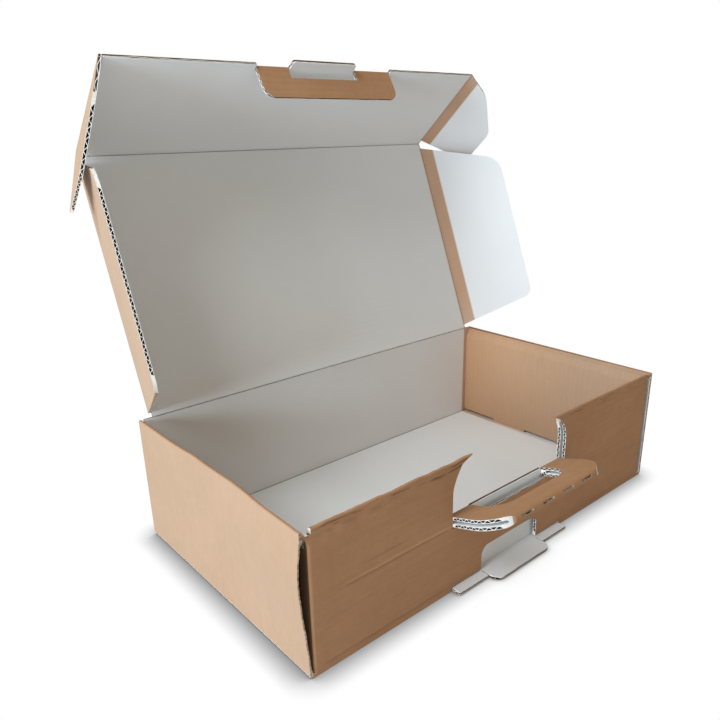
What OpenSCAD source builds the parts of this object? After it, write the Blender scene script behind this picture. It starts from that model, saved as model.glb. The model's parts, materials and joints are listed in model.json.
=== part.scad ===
// Corrugated mailer box with a carrying handle, folded up from one die-cut sheet and standing open.
// X runs to the right across the front, Y towards the back and Z up, in millimetres.
// The origin is in the middle of the tray's base, on the surface that it stands on.
// Kraft paper is outside and white paper inside, and the flutes run left to right in the flat sheet.

/* [Board] */
// Thickness of the corrugated board
board = 3; // [2.4:0.1:3.4]
// Distance from one flute to the next
flute_pitch = 6.4; // [5:0.1:9]
// Thickness of the paper on each face of the board
liner = 0.4; // [0.3:0.05:0.5]
// How deep the open flutes go in from a raw edge
flute_depth = 6; // [3:0.5:9]
// Gap between two panels at a crease that bends
crease_gap = 0.3; // [0.2:0.05:0.6]
// The same gap at the tuck panel's crease, which bends past a right angle
tuck_gap = 0.6; // [0.6:0.05:1]
// The same gap at the lock flap's crease, which bends the furthest
lock_gap = 1; // [1:0.05:1.5]
// Radius of the corners of a fold that is bent for good
fold_r = 3; // [1:0.5:3]

/* [Tray] */
// Outer width of the tray, left to right
tray_w = 462; // [400:2:560]
// Outer depth of the tray, front to back
tray_d = 260; // [230:2:320]
// Height of the tray's walls
wall_h = 121.5; // [110:0.5:150]
// Room between the two layers of a side wall, which holds the corner flaps
side_room = 3.5; // [3.5:0.1:6]
// Room between the two layers of the front wall
front_room = 3; // [2:0.1:5]
// How far a corner flap reaches into the side wall
corner_flap_l = 58; // [30:1:90]
// How much narrower a corner flap gets at each edge towards its end
corner_flap_taper = 6; // [0:1:10]
// Radius of a corner flap's corners
corner_flap_r = 10; // [3:1:15]
// Height of the strip of floor seen under a side wall's inner layer
inner_lift = 3; // [1:0.5:6]
// Height over which the inner layer leans out to the crest of a wall
fold_drop = 12; // [8:0.5:16]
// Width of the crushed crest along a wall's top
crest_w = 2.4; // [2:0.1:3]
// Radius of the crest's edges
crest_r = 1.1; // [0.5:0.1:1.1]
// Slack between a panel and the one it stands beside
fit = 0.3; // [0.2:0.05:0.8]

/* [Floor tabs] */
// Width of each tab under a side wall's inner layer
tab_w = 51; // [30:1:60]
// Distance between the middles of the two tabs of a side wall
tab_spacing = 99; // [80:1:120]

/* [Handle] */
// How far left of the middle the front wall's cut-outs sit
cut_shift = 4.5; // [0:0.5:10]
// Width of the handle and its cut-out
handle_w = 156; // [130:2:180]
// Height of the handle's crease above the base
handle_z = 67; // [60:1:75]
// Radius of the cut-out's corners, which leave the pointed horns
horn_r = 28; // [15:1:32]
// Angle between the handle and the wall
handle_angle = 72; // [40:1:80]
// Width of the hand hole
hand_w = 100; // [85:1:108]
// Height of the hand hole above the inner layer's edge
hand_h = 28; // [20:1:32]
// Radius of the hand hole's far corners
hand_r = 20; // [8:1:22]
// Height of the strip of the inner layer that shows below the hand hole
lip_h = 8; // [5:0.5:8]
// Gap round the handle in its cut-out
kerf = 0.6; // [0.4:0.1:1]
// Length of each slit along the handle's outer fold
slit_l = 15; // [8:1:20]
// Width of each slit
slit_w = 2; // [1:0.2:3]
// Distance from one slit to the next
slit_spacing = 28; // [22:1:30]
// Number of slits along the handle's outer fold
slit_count = 4; // [1:1:4]

/* [Lock] */
// Width of the lock hole in the front wall
lock_w = 79; // [60:1:90]
// Height of the lock hole
lock_h = 27; // [18:1:30]
// Radius of the lock hole's upper corners
lock_r = 9; // [4:1:12]
// Width of the low slot on both sides of the lock hole
slot_w = 155; // [120:1:170]
// Height of the low slot
slot_h = 4.4; // [4.2:0.1:6]
// How far the tongue's middle reaches out in front of the wall
tongue_l = 19; // [12:1:24]
// How far the tongue's two ears reach out
ear_l = 9; // [5:1:11]
// Radius of the tongue's corners
tongue_r = 8; // [3:1:10]
// Width of the cut between the tongue and each ear
tongue_cut = 1.2; // [0.6:0.1:2]
// Slack of the tongue and its ears in their hole and slot, on each side
tongue_fit = 1; // [0.5:0.1:2]

/* [Lid] */
// Angle that the lid has been opened from shut
lid_angle = 111; // [60:1:150]
// Length of the lid from its crease to the tuck panel's crease
lid_l = 247.5; // [225:0.5:315]
// Slack between a folded lid flap and the side wall
lid_slack = 0.3; // [0.2:0.1:3]
// Depth of each lid flap
flap_l = 97; // [60:1:105]
// Angle that the left lid flap is folded in
left_flap_angle = 76; // [76:1:84]
// Angle that the right lid flap is folded in
right_flap_angle = 38; // [34:1:44]
// Height of a lid flap's lower edge above the lid's crease
flap_heel = 3; // [3:0.5:10]
// How far a lid flap is cut back at its crease, beside the tuck panel
flap_relief = 7.5; // [7.5:0.5:16]
// Slope of a lid flap's lower edge, as the rise in millimetres for each millimetre outwards
heel_slope = 0.18; // [0.1:0.02:0.3]
// Slope of a lid flap's upper edge in the same way
top_slope = 0.38; // [0.3:0.02:0.5]
// Radius of a lid flap's corner next to the tuck panel
flap_corner_r = 26; // [10:1:30]
// Radius of a lid flap's other corner
flap_heel_r = 12; // [5:1:20]

/* [Tuck panel] */
// Length of the tuck panel
tuck_l = 116.5; // [100:0.5:130]
// Angle that the tuck panel is folded in
tuck_angle = 70; // [60:1:80]
// Depth of each dust flap
dust_l = 72; // [60:1:76]
// Height of a dust flap's lower edge at its crease
dust_heel = 6; // [5:0.5:16]
// Height of a dust flap's lower edge at its free end
dust_low = 3; // [3:0.5:10]
// Radius of the corner between them and the free edge
dust_low_r = 6; // [3:0.5:12]
// Height of the shoulder where a dust flap's free edge turns in
dust_shoulder = 55; // [50:1:62]
// Radius of that shoulder
dust_r = 22; // [10:1:26]
// Distance out from the crease of the second turn in a dust flap's free edge
dust_turn_x = 34; // [28:1:38]
// Height of that second turn
dust_turn_z = 100; // [95:1:102]
// Radius of that second turn
dust_turn_r = 50; // [20:2:60]
// Angle that the left dust flap is folded in
left_dust_angle = 67; // [60:1:67]
// Angle that the right dust flap is folded in
right_dust_angle = 28; // [20:1:32]
// Width of the lock flap on the tuck panel's free edge
lock_flap_w = 164; // [120:2:200]
// How far right of the middle the lock flap sits
lock_shift = 6; // [0:1:8]
// Depth of the lock flap
lock_flap_l = 31; // [20:1:34]
// Radius of the lock flap's corners
lock_flap_r = 11; // [4:1:14]
// Angle that the lock flap is folded in
lock_flap_angle = 100; // [80:1:117]
// Depth of the step in the tuck panel's edge beside the lock flap
step_h = 4.5; // [3.5:0.5:8]
// Width of the tab that stays in the tuck panel's plane
tuck_tab_w = 80; // [50:1:100]
// How far the tab sticks out past the lock flap's crease
tuck_tab_l = 10; // [6:0.5:12]
// How much narrower the tab gets on each side towards its end, and the radius there
tuck_tab_taper = 2; // [1:0.5:4]
// How far left of the middle the tab sits
tab_shift = 0; // [0:0.5:4]

/* [Hidden] */
$fn = 40;

kraft = "#b98f66";
white = "#d9dcdc";

front = -tray_d / 2;
back = tray_d / 2;
side_t = 2 * board + side_room;
front_t = 2 * board + front_room;
inner_x = tray_w / 2 - side_t;
inner_front = front + front_t;
inner_back = back - board;
// The front and back panels end beside the outer side layers
end_x = tray_w / 2 - board - fit;
// Every bending crease lies in the middle of the board, in a half-round bead
bead = board / 2;
lid_pivot_y = back - board / 2;
lid_pivot_z = wall_h + bead + crease_gap;
panel_x = inner_x - lid_slack - bead;
// A panel's edge stops short of the next panel's bead
edge_gap = bead + crease_gap;
handle_r = front_t / 2;
handle_y = front + front_t / 2;
// Height of the front wall's shelf that the handle's crease lies on
seat = handle_z - handle_r - crease_gap;
// The flutes' wide and narrow sides as shares of their pitch, and the fluted paper itself
flute_wide = 0.36;
flute_narrow = 0.07;
flute_paper = 0.3;
step = 0.01;
beyond = 1;

// Direction of a vector, as a vector of length one
function unit(v) = v / norm(v);

// Points of an arc that rounds the corner at p by radius r
function corner(before, p, after, r, n) =
    let (a = unit(before - p), b = unit(after - p), half = acos(a * b) / 2)
    let (middle = p + unit(a + b) * r / sin(half), first = p + a * r / tan(half) - middle)
    let (start = atan2(first.y, first.x), sweep = (cross(a, b) < 0 ? 1 : -1) * (180 - 2 * half))
    [for (i = [0:n]) middle + r * [cos(start + sweep * i / n), sin(start + sweep * i / n)]];

// Outline whose corners are given as [x, y, radius]
function rounded(shape, n = 8) =
    let (last = len(shape) - 1)
    let (at = [for (p = shape) [p.x, p.y]])
    [for (i = [0:last])
        each shape[i].z == 0 ? [at[i]]
            : corner(at[i == 0 ? last : i - 1], at[i], at[i == last ? 0 : i + 1], shape[i].z, n)];

// Half of an arch: the section of a board that is bent back on itself over a gap
module fold_section(room) {
    difference() {
        circle(r = room / 2 + board);
        circle(r = room / 2);
        translate([-room - 2 * board, -room - 3 * board])
            square([2 * room + 4 * board, room + 3 * board]);
    }
}

// Section of the doubled handle band, from its outer face at x = 0, folded over at height top
module doubled_section(room, bottom, inner_bottom, top) {
    shoulder = top - board - room / 2;
    translate([0, bottom])
        square([board, shoulder - bottom + step]);
    translate([board + room, inner_bottom])
        square([board, shoulder - inner_bottom + step]);
    translate([board + room / 2, shoulder])
        fold_section(room);
}

// Section of a side or front wall, from its outer face at x = 0: the outer layer goes up to a
// crushed crest, and the inner one leans out to meet it
module wall_section(room, inner_bottom, top) {
    thick = 2 * board + room;
    slope = fold_drop / (thick - crest_w);
    reach = board * sqrt(1 + slope * slope);
    polygon(rounded([[0, top / 2, 0], [0, top, crest_r], [crest_w, top, crest_r],
                     [thick, top - fold_drop, board], [thick, inner_bottom, 0],
                     [board + room, inner_bottom, 0],
                     [board + room, top - (board + room - crest_w) * slope - reach, 0],
                     [board, top - (board - crest_w) * slope - reach, 0],
                     [board, top / 2, 0]], 6));
}

// Openings of the flutes in a length of board, seen along the flutes, with the board centred
module flute_section(length) {
    reach = board / 2 - liner;
    wide = flute_wide * flute_pitch;
    narrow = flute_narrow * flute_pitch;
    count = floor(2 * (length - flute_pitch) / flute_pitch);
    start = (length - count * flute_pitch / 2) / 2;
    for (i = [0:count]) {
        side = i % 2 == 0 ? 1 : -1;
        translate([start + i * flute_pitch / 2, 0])
            polygon([[-wide, side * reach], [wide, side * reach],
                     [narrow, -side * (reach - flute_paper)], [-narrow, -side * (reach - flute_paper)]]);
    }
}

// Open flutes from one height to another, along X, where an edge strip lies
module open_flutes(from, to) {
    intersection() {
        translate([0, from, 0])
            rotate([90, 0, 90])
            linear_extrude(4 * tray_w, center = true)
            flute_section(to - from);
        translate([0, 0, -board])
            linear_extrude(2 * board)
            children();
    }
}

// Strip inside an outline along its edges that cross the flutes, on the right (1) or left (-1)
module strip_inside(side) {
    difference() {
        children();
        translate([-side * flute_depth, 0])
            children();
    }
}

// The same strip outside an outline, which is a hole in the board
module strip_outside(side) {
    difference() {
        translate([side * flute_depth, 0])
            children();
        children();
    }
}

// Puts what is drawn for flat board into one of the front wall's layers, outer (0) or inner (1)
module in_front_wall(layer) {
    translate([0, front + bead + layer * (board + front_room), 0])
        rotate([90, 0, 0])
        children();
}

// Flat board standing in its own plane, centred on it
module sheet() {
    linear_extrude(board, center = true)
        children();
}

// Half-round bead along a crease, from one end to the other along X
module bead_x(from, to, r = bead) {
    translate([from, 0, 0])
        rotate([0, 90, 0])
        cylinder(r = r, h = to - from);
}

// The same along Y
module bead_y(from, to, r = bead) {
    translate([0, from, 0])
        rotate([-90, 0, 0])
        cylinder(r = r, h = to - from);
}

// Outline of the cut-out in the front wall, from height low up past the wall's top
module cutout_outline(grow, low) {
    half = handle_w / 2 + grow;
    top = wall_h + grow;
    polygon(rounded([[-cut_shift - half, low, 0], [-cut_shift + half, low, 0],
                     [-cut_shift + half, top, horn_r + grow], [-cut_shift - half, top, horn_r + grow]], 14));
}

// Outline of the hand hole, from height low up
module hand_outline(low) {
    half = hand_w / 2;
    top = handle_z + handle_r + hand_h;
    polygon(rounded([[-cut_shift - half, low, 0], [-cut_shift + half, low, 0],
                     [-cut_shift + half, top, hand_r], [-cut_shift - half, top, hand_r]], 10));
}

// Lock hole and low slot of the front wall's outer layer
module lock_outline() {
    translate([-cut_shift, 0]) {
        polygon(rounded([[-lock_w / 2, -board, 0], [lock_w / 2, -board, 0],
                         [lock_w / 2, lock_h, lock_r], [-lock_w / 2, lock_h, lock_r]], 8));
        translate([-slot_w / 2, -board])
            square([slot_w, slot_h + board]);
    }
}

// Tongue and ears, seen from above, with y = 0 at the front wall's outer face
module tongue_outline() {
    half = lock_w / 2 - tongue_fit;
    ear = slot_w / 2 - tongue_fit;
    translate([-cut_shift, 0])
        difference() {
            union() {
                polygon(rounded([[-half, front_t, 0], [-half, -tongue_l, tongue_r],
                                 [half, -tongue_l, tongue_r], [half, front_t, 0]], 6));
                translate([-ear, -ear_l])
                    square([2 * ear, front_t + ear_l]);
            }
            for (side = [-1, 1])
                translate([side * (half + tongue_cut / 2) - tongue_cut / 2, -tongue_l])
                    square([tongue_cut, tongue_l - tongue_fit]);
        }
}

// Floor with the two outer side layers: a channel with rounded lower edges
module floor_and_sides() {
    half = tray_w / 2;
    top = wall_h - side_t / 2;
    translate([0, back, 0])
        rotate([90, 0, 0])
        linear_extrude(tray_d)
        polygon(rounded([[-half, 0, fold_r], [half, 0, fold_r], [half, top, 0], [half - board, top, 0],
                         [half - board, board, 0], [board - half, board, 0],
                         [board - half, top, 0], [-half, top, 0]], 6));
}

// Front and back panels on the floor's edges, as one channel with rounded lower edges,
// rounded again where they fold into the corner flaps
module front_and_back() {
    intersection() {
        linear_extrude(wall_h)
            polygon(rounded([[-end_x, front, fold_r], [end_x, front, fold_r],
                             [end_x, back, fold_r], [-end_x, back, fold_r]], 6));
        front_and_back_section();
    }
}

module front_and_back_section() {
    translate([-end_x, 0, 0])
        rotate([90, 0, 90])
        linear_extrude(2 * end_x)
        polygon(rounded([[front, 0, fold_r], [back, 0, fold_r], [back, wall_h, 0], [inner_back, wall_h, 0],
                         [inner_back, board, 0], [front + board, board, 0],
                         [front + board, wall_h - front_t / 2, 0], [front, wall_h - front_t / 2, 0]], 6));
}

// Fold and inner layer of a side wall, with its two tabs down through the floor.
// The fold goes on over the corners of the front and back.
module side_inner(side) {
    length = inner_back - inner_front - 2 * fit;
    mirror([side > 0 ? 0 : 1, 0, 0]) {
        translate([tray_w / 2, back, 0])
            rotate([90, 0, 0])
            mirror([1, 0, 0])
            linear_extrude(tray_d)
            intersection() {
                wall_section(side_room, wall_h / 2, wall_h);
                union() {
                    square([board, wall_h]);
                    translate([0, wall_h - front_t / 2 + fit])
                        square([side_t, front_t / 2]);
                }
            }
        translate([tray_w / 2, inner_front + fit + length, 0])
            rotate([90, 0, 0])
            mirror([1, 0, 0])
            linear_extrude(length)
            wall_section(side_room, board + inner_lift, wall_h);
        for (end = [-1, 1])
            translate([inner_x, end * tab_spacing / 2 - tab_w / 2, 0])
                cube([board, tab_w, wall_h / 2]);
    }
}

// Corner flaps of the front and back panels, held between the layers of the side walls
module corner_flap(side, end) {
    low = board + fit;
    high = wall_h - fold_drop - board;
    translate([side * (end_x - board / 2) + board / 2, end * tray_d / 2, 0])
        mirror([0, end > 0 ? 1 : 0, 0])
        rotate([0, -90, 0])
        linear_extrude(board)
        polygon(rounded([[low, fold_r - step, 0], [low + corner_flap_taper, corner_flap_l, corner_flap_r],
                         [high - corner_flap_taper, corner_flap_l, corner_flap_r],
                         [high, fold_r - step, 0]], 4));
}

// Top fold and inner layer of the front wall, which ends in the tongue
module front_inner() {
    half = inner_x - fit;
    translate([-half, front, 0])
        rotate([90, 0, 90])
        linear_extrude(2 * half)
        wall_section(front_room, board + fit, wall_h);
    translate([-cut_shift - slot_w / 2 + tongue_fit, front + board + front_room, 0])
        cube([slot_w - 2 * tongue_fit, board, wall_h / 2]);
    translate([0, front, 0])
        linear_extrude(board)
        tongue_outline();
}

module tray() {
    lip_half = hand_w / 2 - kerf;
    color(kraft)
        difference() {
            union() {
                difference() {
                    union() {
                        floor_and_sides();
                        front_and_back();
                    }
                    // Lock hole and slot through the outer layer and on into the floor's edge
                    translate([0, front + board + front_room - fit, 0])
                        rotate([90, 0, 0])
                        linear_extrude(3 * front_t)
                        lock_outline();
                    translate([-cut_shift - slot_w / 2, front - beyond, -beyond])
                        cube([slot_w, front_t + beyond + fit, board + 2 * beyond]);
                    // Slots in the floor for the side walls' tabs
                    for (side = [-1, 1], end = [-1, 1])
                        translate([side * (inner_x + board / 2) - board / 2 - fit,
                                   end * tab_spacing / 2 - tab_w / 2 - 2 * fit, -beyond])
                            cube([board + 2 * fit, tab_w + 4 * fit, board + 2 * beyond]);
                }
                for (side = [-1, 1]) {
                    side_inner(side);
                    for (end = [-1, 1])
                        corner_flap(side, end);
                }
                front_inner();
            }
            // Cut-out that the handle comes from, down to the strip below the hand hole
            translate([0, inner_front + beyond, 0])
                rotate([90, 0, 0])
                linear_extrude(front_t + 2 * beyond)
                difference() {
                    cutout_outline(kerf, seat);
                    translate([-cut_shift - lip_half, 0])
                        square([2 * lip_half, seat + lip_h]);
                }
            // The outer layer is cut lower than the inner one below the hand hole
            translate([-cut_shift - lip_half - kerf, front - beyond, seat])
                cube([2 * (lip_half + kerf), board + front_room + beyond, lip_h + beyond]);
            tray_flutes();
        }
}

// Open flutes on the horns, the lock hole and the tongue
module tray_flutes() {
    for (side = [-1, 1]) {
        for (layer = [0, 1])
            in_front_wall(layer)
                open_flutes(seat + board, wall_h - (layer == 0 ? front_t / 2 : fold_drop + board))
                strip_outside(side)
                cutout_outline(kerf, seat);
        in_front_wall(0)
            open_flutes(slot_h + beyond, lock_h)
            strip_outside(side)
            lock_outline();
        translate([0, front, bead])
            open_flutes(-tongue_l, -ear_l)
            strip_inside(side)
            tongue_outline();
    }
}

// The doubled band, drawn upright in its cut-out before it is tilted out
module handle_upright() {
    difference() {
        union() {
            intersection() {
                translate([-tray_w / 2, front, 0])
                    rotate([90, 0, 90])
                    linear_extrude(tray_w)
                    doubled_section(front_room, handle_z, handle_z, wall_h);
                translate([0, inner_front, 0])
                    rotate([90, 0, 0])
                    linear_extrude(front_t)
                    cutout_outline(0, handle_z);
            }
            translate([0, handle_y, handle_z])
                bead_x(-cut_shift - handle_w / 2, -cut_shift + handle_w / 2, handle_r);
        }
        // Hand hole through both layers
        translate([0, inner_front + beyond, 0])
            rotate([90, 0, 0])
            linear_extrude(front_t + 2 * beyond)
            hand_outline(handle_z - 2 * handle_r);
        // Slits along the outer fold
        for (i = [1:slit_count])
            translate([-cut_shift + slit_spacing * (i - (slit_count + 1) / 2) - slit_l / 2,
                       handle_y - slit_w / 2, wall_h - board - beyond])
                cube([slit_l, slit_w, board + 2 * beyond]);
        // Open flutes at both ends
        for (side = [-1, 1], layer = [0, 1])
            in_front_wall(layer)
                open_flutes(handle_z + handle_r, wall_h - front_t / 2)
                strip_inside(side)
                cutout_outline(0, handle_z);
    }
}

module handle() {
    color(kraft)
        translate([0, handle_y, handle_z])
        rotate([handle_angle, 0, 0])
        translate([0, -handle_y, -handle_z])
        handle_upright();
}

// Places what is drawn flat on the lid: x across, y away from the lid's crease, z to the white side
module on_lid() {
    translate([0, lid_pivot_y, lid_pivot_z])
        rotate([180 - lid_angle, 0, 0])
        children();
}

// Places what is drawn flat on the tuck panel in the same way
module on_tuck() {
    on_lid()
        translate([0, lid_l, 0])
        rotate([tuck_angle, 0, 0])
        children();
}

// Places a side flap that is drawn to the right of its crease
module on_side(side, angle) {
    mirror([side > 0 ? 0 : 1, 0, 0])
        translate([panel_x, 0, 0])
        rotate([0, -angle, 0])
        children();
}

module lid() {
    half = panel_x - edge_gap;
    color(white)
        on_lid() {
            sheet()
                translate([-half, 0])
                square([2 * half, lid_l - bead - tuck_gap]);
            bead_x(-half, half);
        }
}

// Outline of a lid flap, right of its crease
module lid_flap_outline() {
    top = lid_l - flap_relief;
    polygon(rounded([[0, flap_heel, 0], [flap_l, flap_heel + heel_slope * flap_l, flap_heel_r],
                     [flap_l, top - top_slope * flap_l, flap_corner_r], [0, top, 0]], 8));
}

module lid_flap() {
    low = flap_heel + heel_slope * flap_l + flap_heel_r;
    high = lid_l - flap_relief - top_slope * flap_l - flap_corner_r / 2;
    difference() {
        union() {
            sheet()
                lid_flap_outline();
            bead_y(flap_heel, lid_l - flap_relief);
        }
        open_flutes(low, high)
            strip_inside(1)
            lid_flap_outline();
    }
}

module lid_flap_left() {
    color(kraft)
        on_lid()
        on_side(-1, left_flap_angle)
        lid_flap();
}

module lid_flap_right() {
    color(white)
        on_lid()
        on_side(1, right_flap_angle)
        lid_flap();
}

module tuck_panel() {
    half = panel_x - edge_gap;
    fold = tuck_l - step_h;
    gap_half = lock_flap_w / 2 + kerf;
    edge = fold - 2 * bead - lock_gap;
    tab_half = tuck_tab_w / 2;
    color(white)
        on_tuck() {
            sheet() {
                difference() {
                    translate([-half, 0])
                        square([2 * half, tuck_l]);
                    translate([lock_shift - gap_half, edge])
                        square([2 * gap_half, tuck_l]);
                }
                translate([-tab_shift, edge - step])
                    polygon(rounded([[-tab_half, 0, 0], [tab_half, 0, 0],
                                     [tab_half - tuck_tab_taper, fold - edge + tuck_tab_l, tuck_tab_taper],
                                     [tuck_tab_taper - tab_half, fold - edge + tuck_tab_l,
                                      tuck_tab_taper]], 4));
            }
            bead_x(-half, half);
            // Rounded edges beside the tab, so that the lock flap folds past a right angle
            translate([0, edge, 0])
                bead_x(lock_shift - gap_half, lock_shift + gap_half);
        }
}

// Strip on the tuck panel's free edge, cut out round the tab
module lock_flap() {
    half = lock_flap_w / 2;
    left = -tab_shift - tuck_tab_w / 2 - kerf;
    right = -tab_shift + tuck_tab_w / 2 + kerf;
    color(kraft)
        on_tuck()
        translate([0, tuck_l - step_h, 0])
        rotate([lock_flap_angle, 0, 0]) {
            sheet()
                difference() {
                    translate([lock_shift, 0])
                        polygon(rounded([[-half, 0, 0], [half, 0, 0], [half, lock_flap_l, lock_flap_r],
                                         [-half, lock_flap_l, lock_flap_r]], 6));
                    translate([left, -beyond])
                        square([right - left, tuck_tab_l + kerf + beyond]);
                }
            bead_x(lock_shift - half, left);
            bead_x(right, lock_shift + half);
        }
}

// Outline of a dust flap, right of its crease
module dust_flap_outline() {
    polygon(rounded([[0, dust_heel, 0], [dust_l, dust_low, dust_low_r], [dust_l, dust_shoulder, dust_r],
                     [dust_turn_x, dust_turn_z, dust_turn_r], [0, tuck_l, 0]], 8));
}

module dust_flap() {
    difference() {
        union() {
            sheet()
                dust_flap_outline();
            bead_y(dust_heel, tuck_l);
        }
        open_flutes(dust_low + dust_low_r, dust_turn_z)
            strip_inside(1)
            dust_flap_outline();
    }
}

module dust_flap_left() {
    color(kraft)
        on_tuck()
        on_side(-1, left_dust_angle)
        dust_flap();
}

module dust_flap_right() {
    color(white)
        on_tuck()
        on_side(1, right_dust_angle)
        dust_flap();
}

tray();
handle();
lid();
lid_flap_left();
lid_flap_right();
tuck_panel();
dust_flap_left();
dust_flap_right();
lock_flap();
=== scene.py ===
"""Corrugated mailer box, standing open: kraft and white board, raw fluted edges and studio."""

import json
import math

import bpy
from mathutils import Matrix, Vector, noise
from mathutils.bvhtree import BVHTree


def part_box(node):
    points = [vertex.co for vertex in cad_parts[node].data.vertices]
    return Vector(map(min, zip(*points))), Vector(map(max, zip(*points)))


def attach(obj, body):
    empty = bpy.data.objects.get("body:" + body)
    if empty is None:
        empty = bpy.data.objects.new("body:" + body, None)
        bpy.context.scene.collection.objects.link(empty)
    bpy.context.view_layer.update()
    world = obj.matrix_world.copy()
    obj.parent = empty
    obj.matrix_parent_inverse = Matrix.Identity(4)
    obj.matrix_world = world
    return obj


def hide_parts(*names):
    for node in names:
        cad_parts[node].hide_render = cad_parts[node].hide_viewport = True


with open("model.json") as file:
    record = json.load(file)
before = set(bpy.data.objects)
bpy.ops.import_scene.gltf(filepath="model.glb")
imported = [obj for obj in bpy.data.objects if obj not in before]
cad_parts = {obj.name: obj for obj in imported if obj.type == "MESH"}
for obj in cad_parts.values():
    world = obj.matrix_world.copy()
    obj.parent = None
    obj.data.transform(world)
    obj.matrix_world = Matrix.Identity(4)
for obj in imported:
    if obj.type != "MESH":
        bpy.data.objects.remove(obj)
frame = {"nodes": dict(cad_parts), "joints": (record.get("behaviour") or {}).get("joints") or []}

bl_info = {
    "name": "Corrugated mailer box",
    "version": (1, 0, 0),
    "blender": (4, 5, 0),
    "location": "View3D > Sidebar > Mailer box",
    "description": "Dresses the folded corrugated box with paper and raw edges, and lights it",
    "category": "Object",
}

NODES = frame["nodes"]
JOINTS = {joint["name"]: joint for joint in frame["joints"]}
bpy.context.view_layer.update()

# Board, in metres. These follow the part's own sizes.
BOARD = 0.003
HALF = BOARD / 2
TRAY_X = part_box("tray")[1].x
FRONT_Y = -0.130
BACK_Y = 0.130
WALL_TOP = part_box("tray")[1].z
SIDE_ROOM = 0.0035
FRONT_ROOM = 0.003
CUT_MIDDLE = -0.0045
SIDE_THICK = 2 * BOARD + SIDE_ROOM
FRONT_THICK = 2 * BOARD + FRONT_ROOM
END_X = TRAY_X - BOARD - 0.0003
# Height over which an inner layer leans out to the crest, and height of the crest's crushed edge
LEAN = 0.012
CREST = 0.0012
# How close a face lies to a plane to count as on it
NEAR = 2e-5
# Where the left wall's worn part starts at its front, and the end of the left horn
LEFT_END = -TRAY_X + BOARD + 0.0006
HORN_X = CUT_MIDDLE - 0.05
# The left wall is bent forward of this place, and fully so this far on
BEND_Y = -0.028
BEND_LENGTH = 0.09
# How far handling has moved the board: crest up, left wall out, its raw edge in, the right front
# corner in, and the front crest dented and swollen
CREST_RISE = 0.0032
WALL_BOW = 0.0065
EDGE_CRUSH = 0.0018
CORNER_PULL = 0.0032
CREST_DENT = 0.0011
CREST_SWELL = 0.0010


# Sizes and colours

class BoardSettings(bpy.types.PropertyGroup):
    """Paper and flutes of the board"""

    flute_pitch: bpy.props.FloatProperty(
        name="Flute pitch", description="Distance from one flute to the next", default=0.0064,
        min=0.004, max=0.01, precision=4, unit="LENGTH")
    washboard: bpy.props.FloatProperty(
        name="Washboard", description="How strongly the flutes show through the paper",
        default=0.35, min=0, max=1, subtype="FACTOR")
    kraft_light: bpy.props.FloatVectorProperty(
        name="Light kraft", description="Lighter tone of the brown paper",
        default=(0.440, 0.286, 0.182), subtype="COLOR", min=0, max=1)
    kraft_dark: bpy.props.FloatVectorProperty(
        name="Dark kraft", description="Darker tone of the brown paper",
        default=(0.355, 0.227, 0.142), subtype="COLOR", min=0, max=1)
    # The shaded kraft tones are painted shade: a darker, browner copy of the kraft for faces that
    # the key lamp leaves in shade, while kraft_paper is the copy for lit faces
    shaded_kraft_light: bpy.props.FloatVectorProperty(
        name="Light handled kraft", description="Lighter tone where hands have browned the paper",
        default=(0.500, 0.275, 0.146), subtype="COLOR", min=0, max=1)
    shaded_kraft_dark: bpy.props.FloatVectorProperty(
        name="Dark handled kraft", description="Darker tone where hands have browned the paper",
        default=(0.365, 0.190, 0.095), subtype="COLOR", min=0, max=1)
    white_light: bpy.props.FloatVectorProperty(
        name="White", description="Lighter tone of the white paper",
        default=(0.87, 0.885, 0.895), subtype="COLOR", min=0, max=1)
    white_dark: bpy.props.FloatVectorProperty(
        name="Greyish white", description="Darker tone of the white paper",
        default=(0.81, 0.825, 0.835), subtype="COLOR", min=0, max=1)
    cut_light: bpy.props.FloatVectorProperty(
        name="Cut paper", description="Torn fibres along a raw edge",
        default=(0.84, 0.81, 0.76), subtype="COLOR", min=0, max=1)
    # The flute shade is painted shade: near-black for the darkness inside the open flutes
    flute_shade: bpy.props.FloatVectorProperty(
        name="Inside a flute", description="Dark paper inside the flutes",
        default=(0.050, 0.032, 0.020), subtype="COLOR", min=0, max=1)
    crushed_light: bpy.props.FloatVectorProperty(
        name="Light crushed edge", description="Lighter tone of the side walls' raw front edges",
        default=(0.68, 0.56, 0.43), subtype="COLOR", min=0, max=1)
    crushed_dark: bpy.props.FloatVectorProperty(
        name="Dark crushed edge", description="Darker tone of the side walls' raw front edges",
        default=(0.14, 0.085, 0.05), subtype="COLOR", min=0, max=1)


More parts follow.
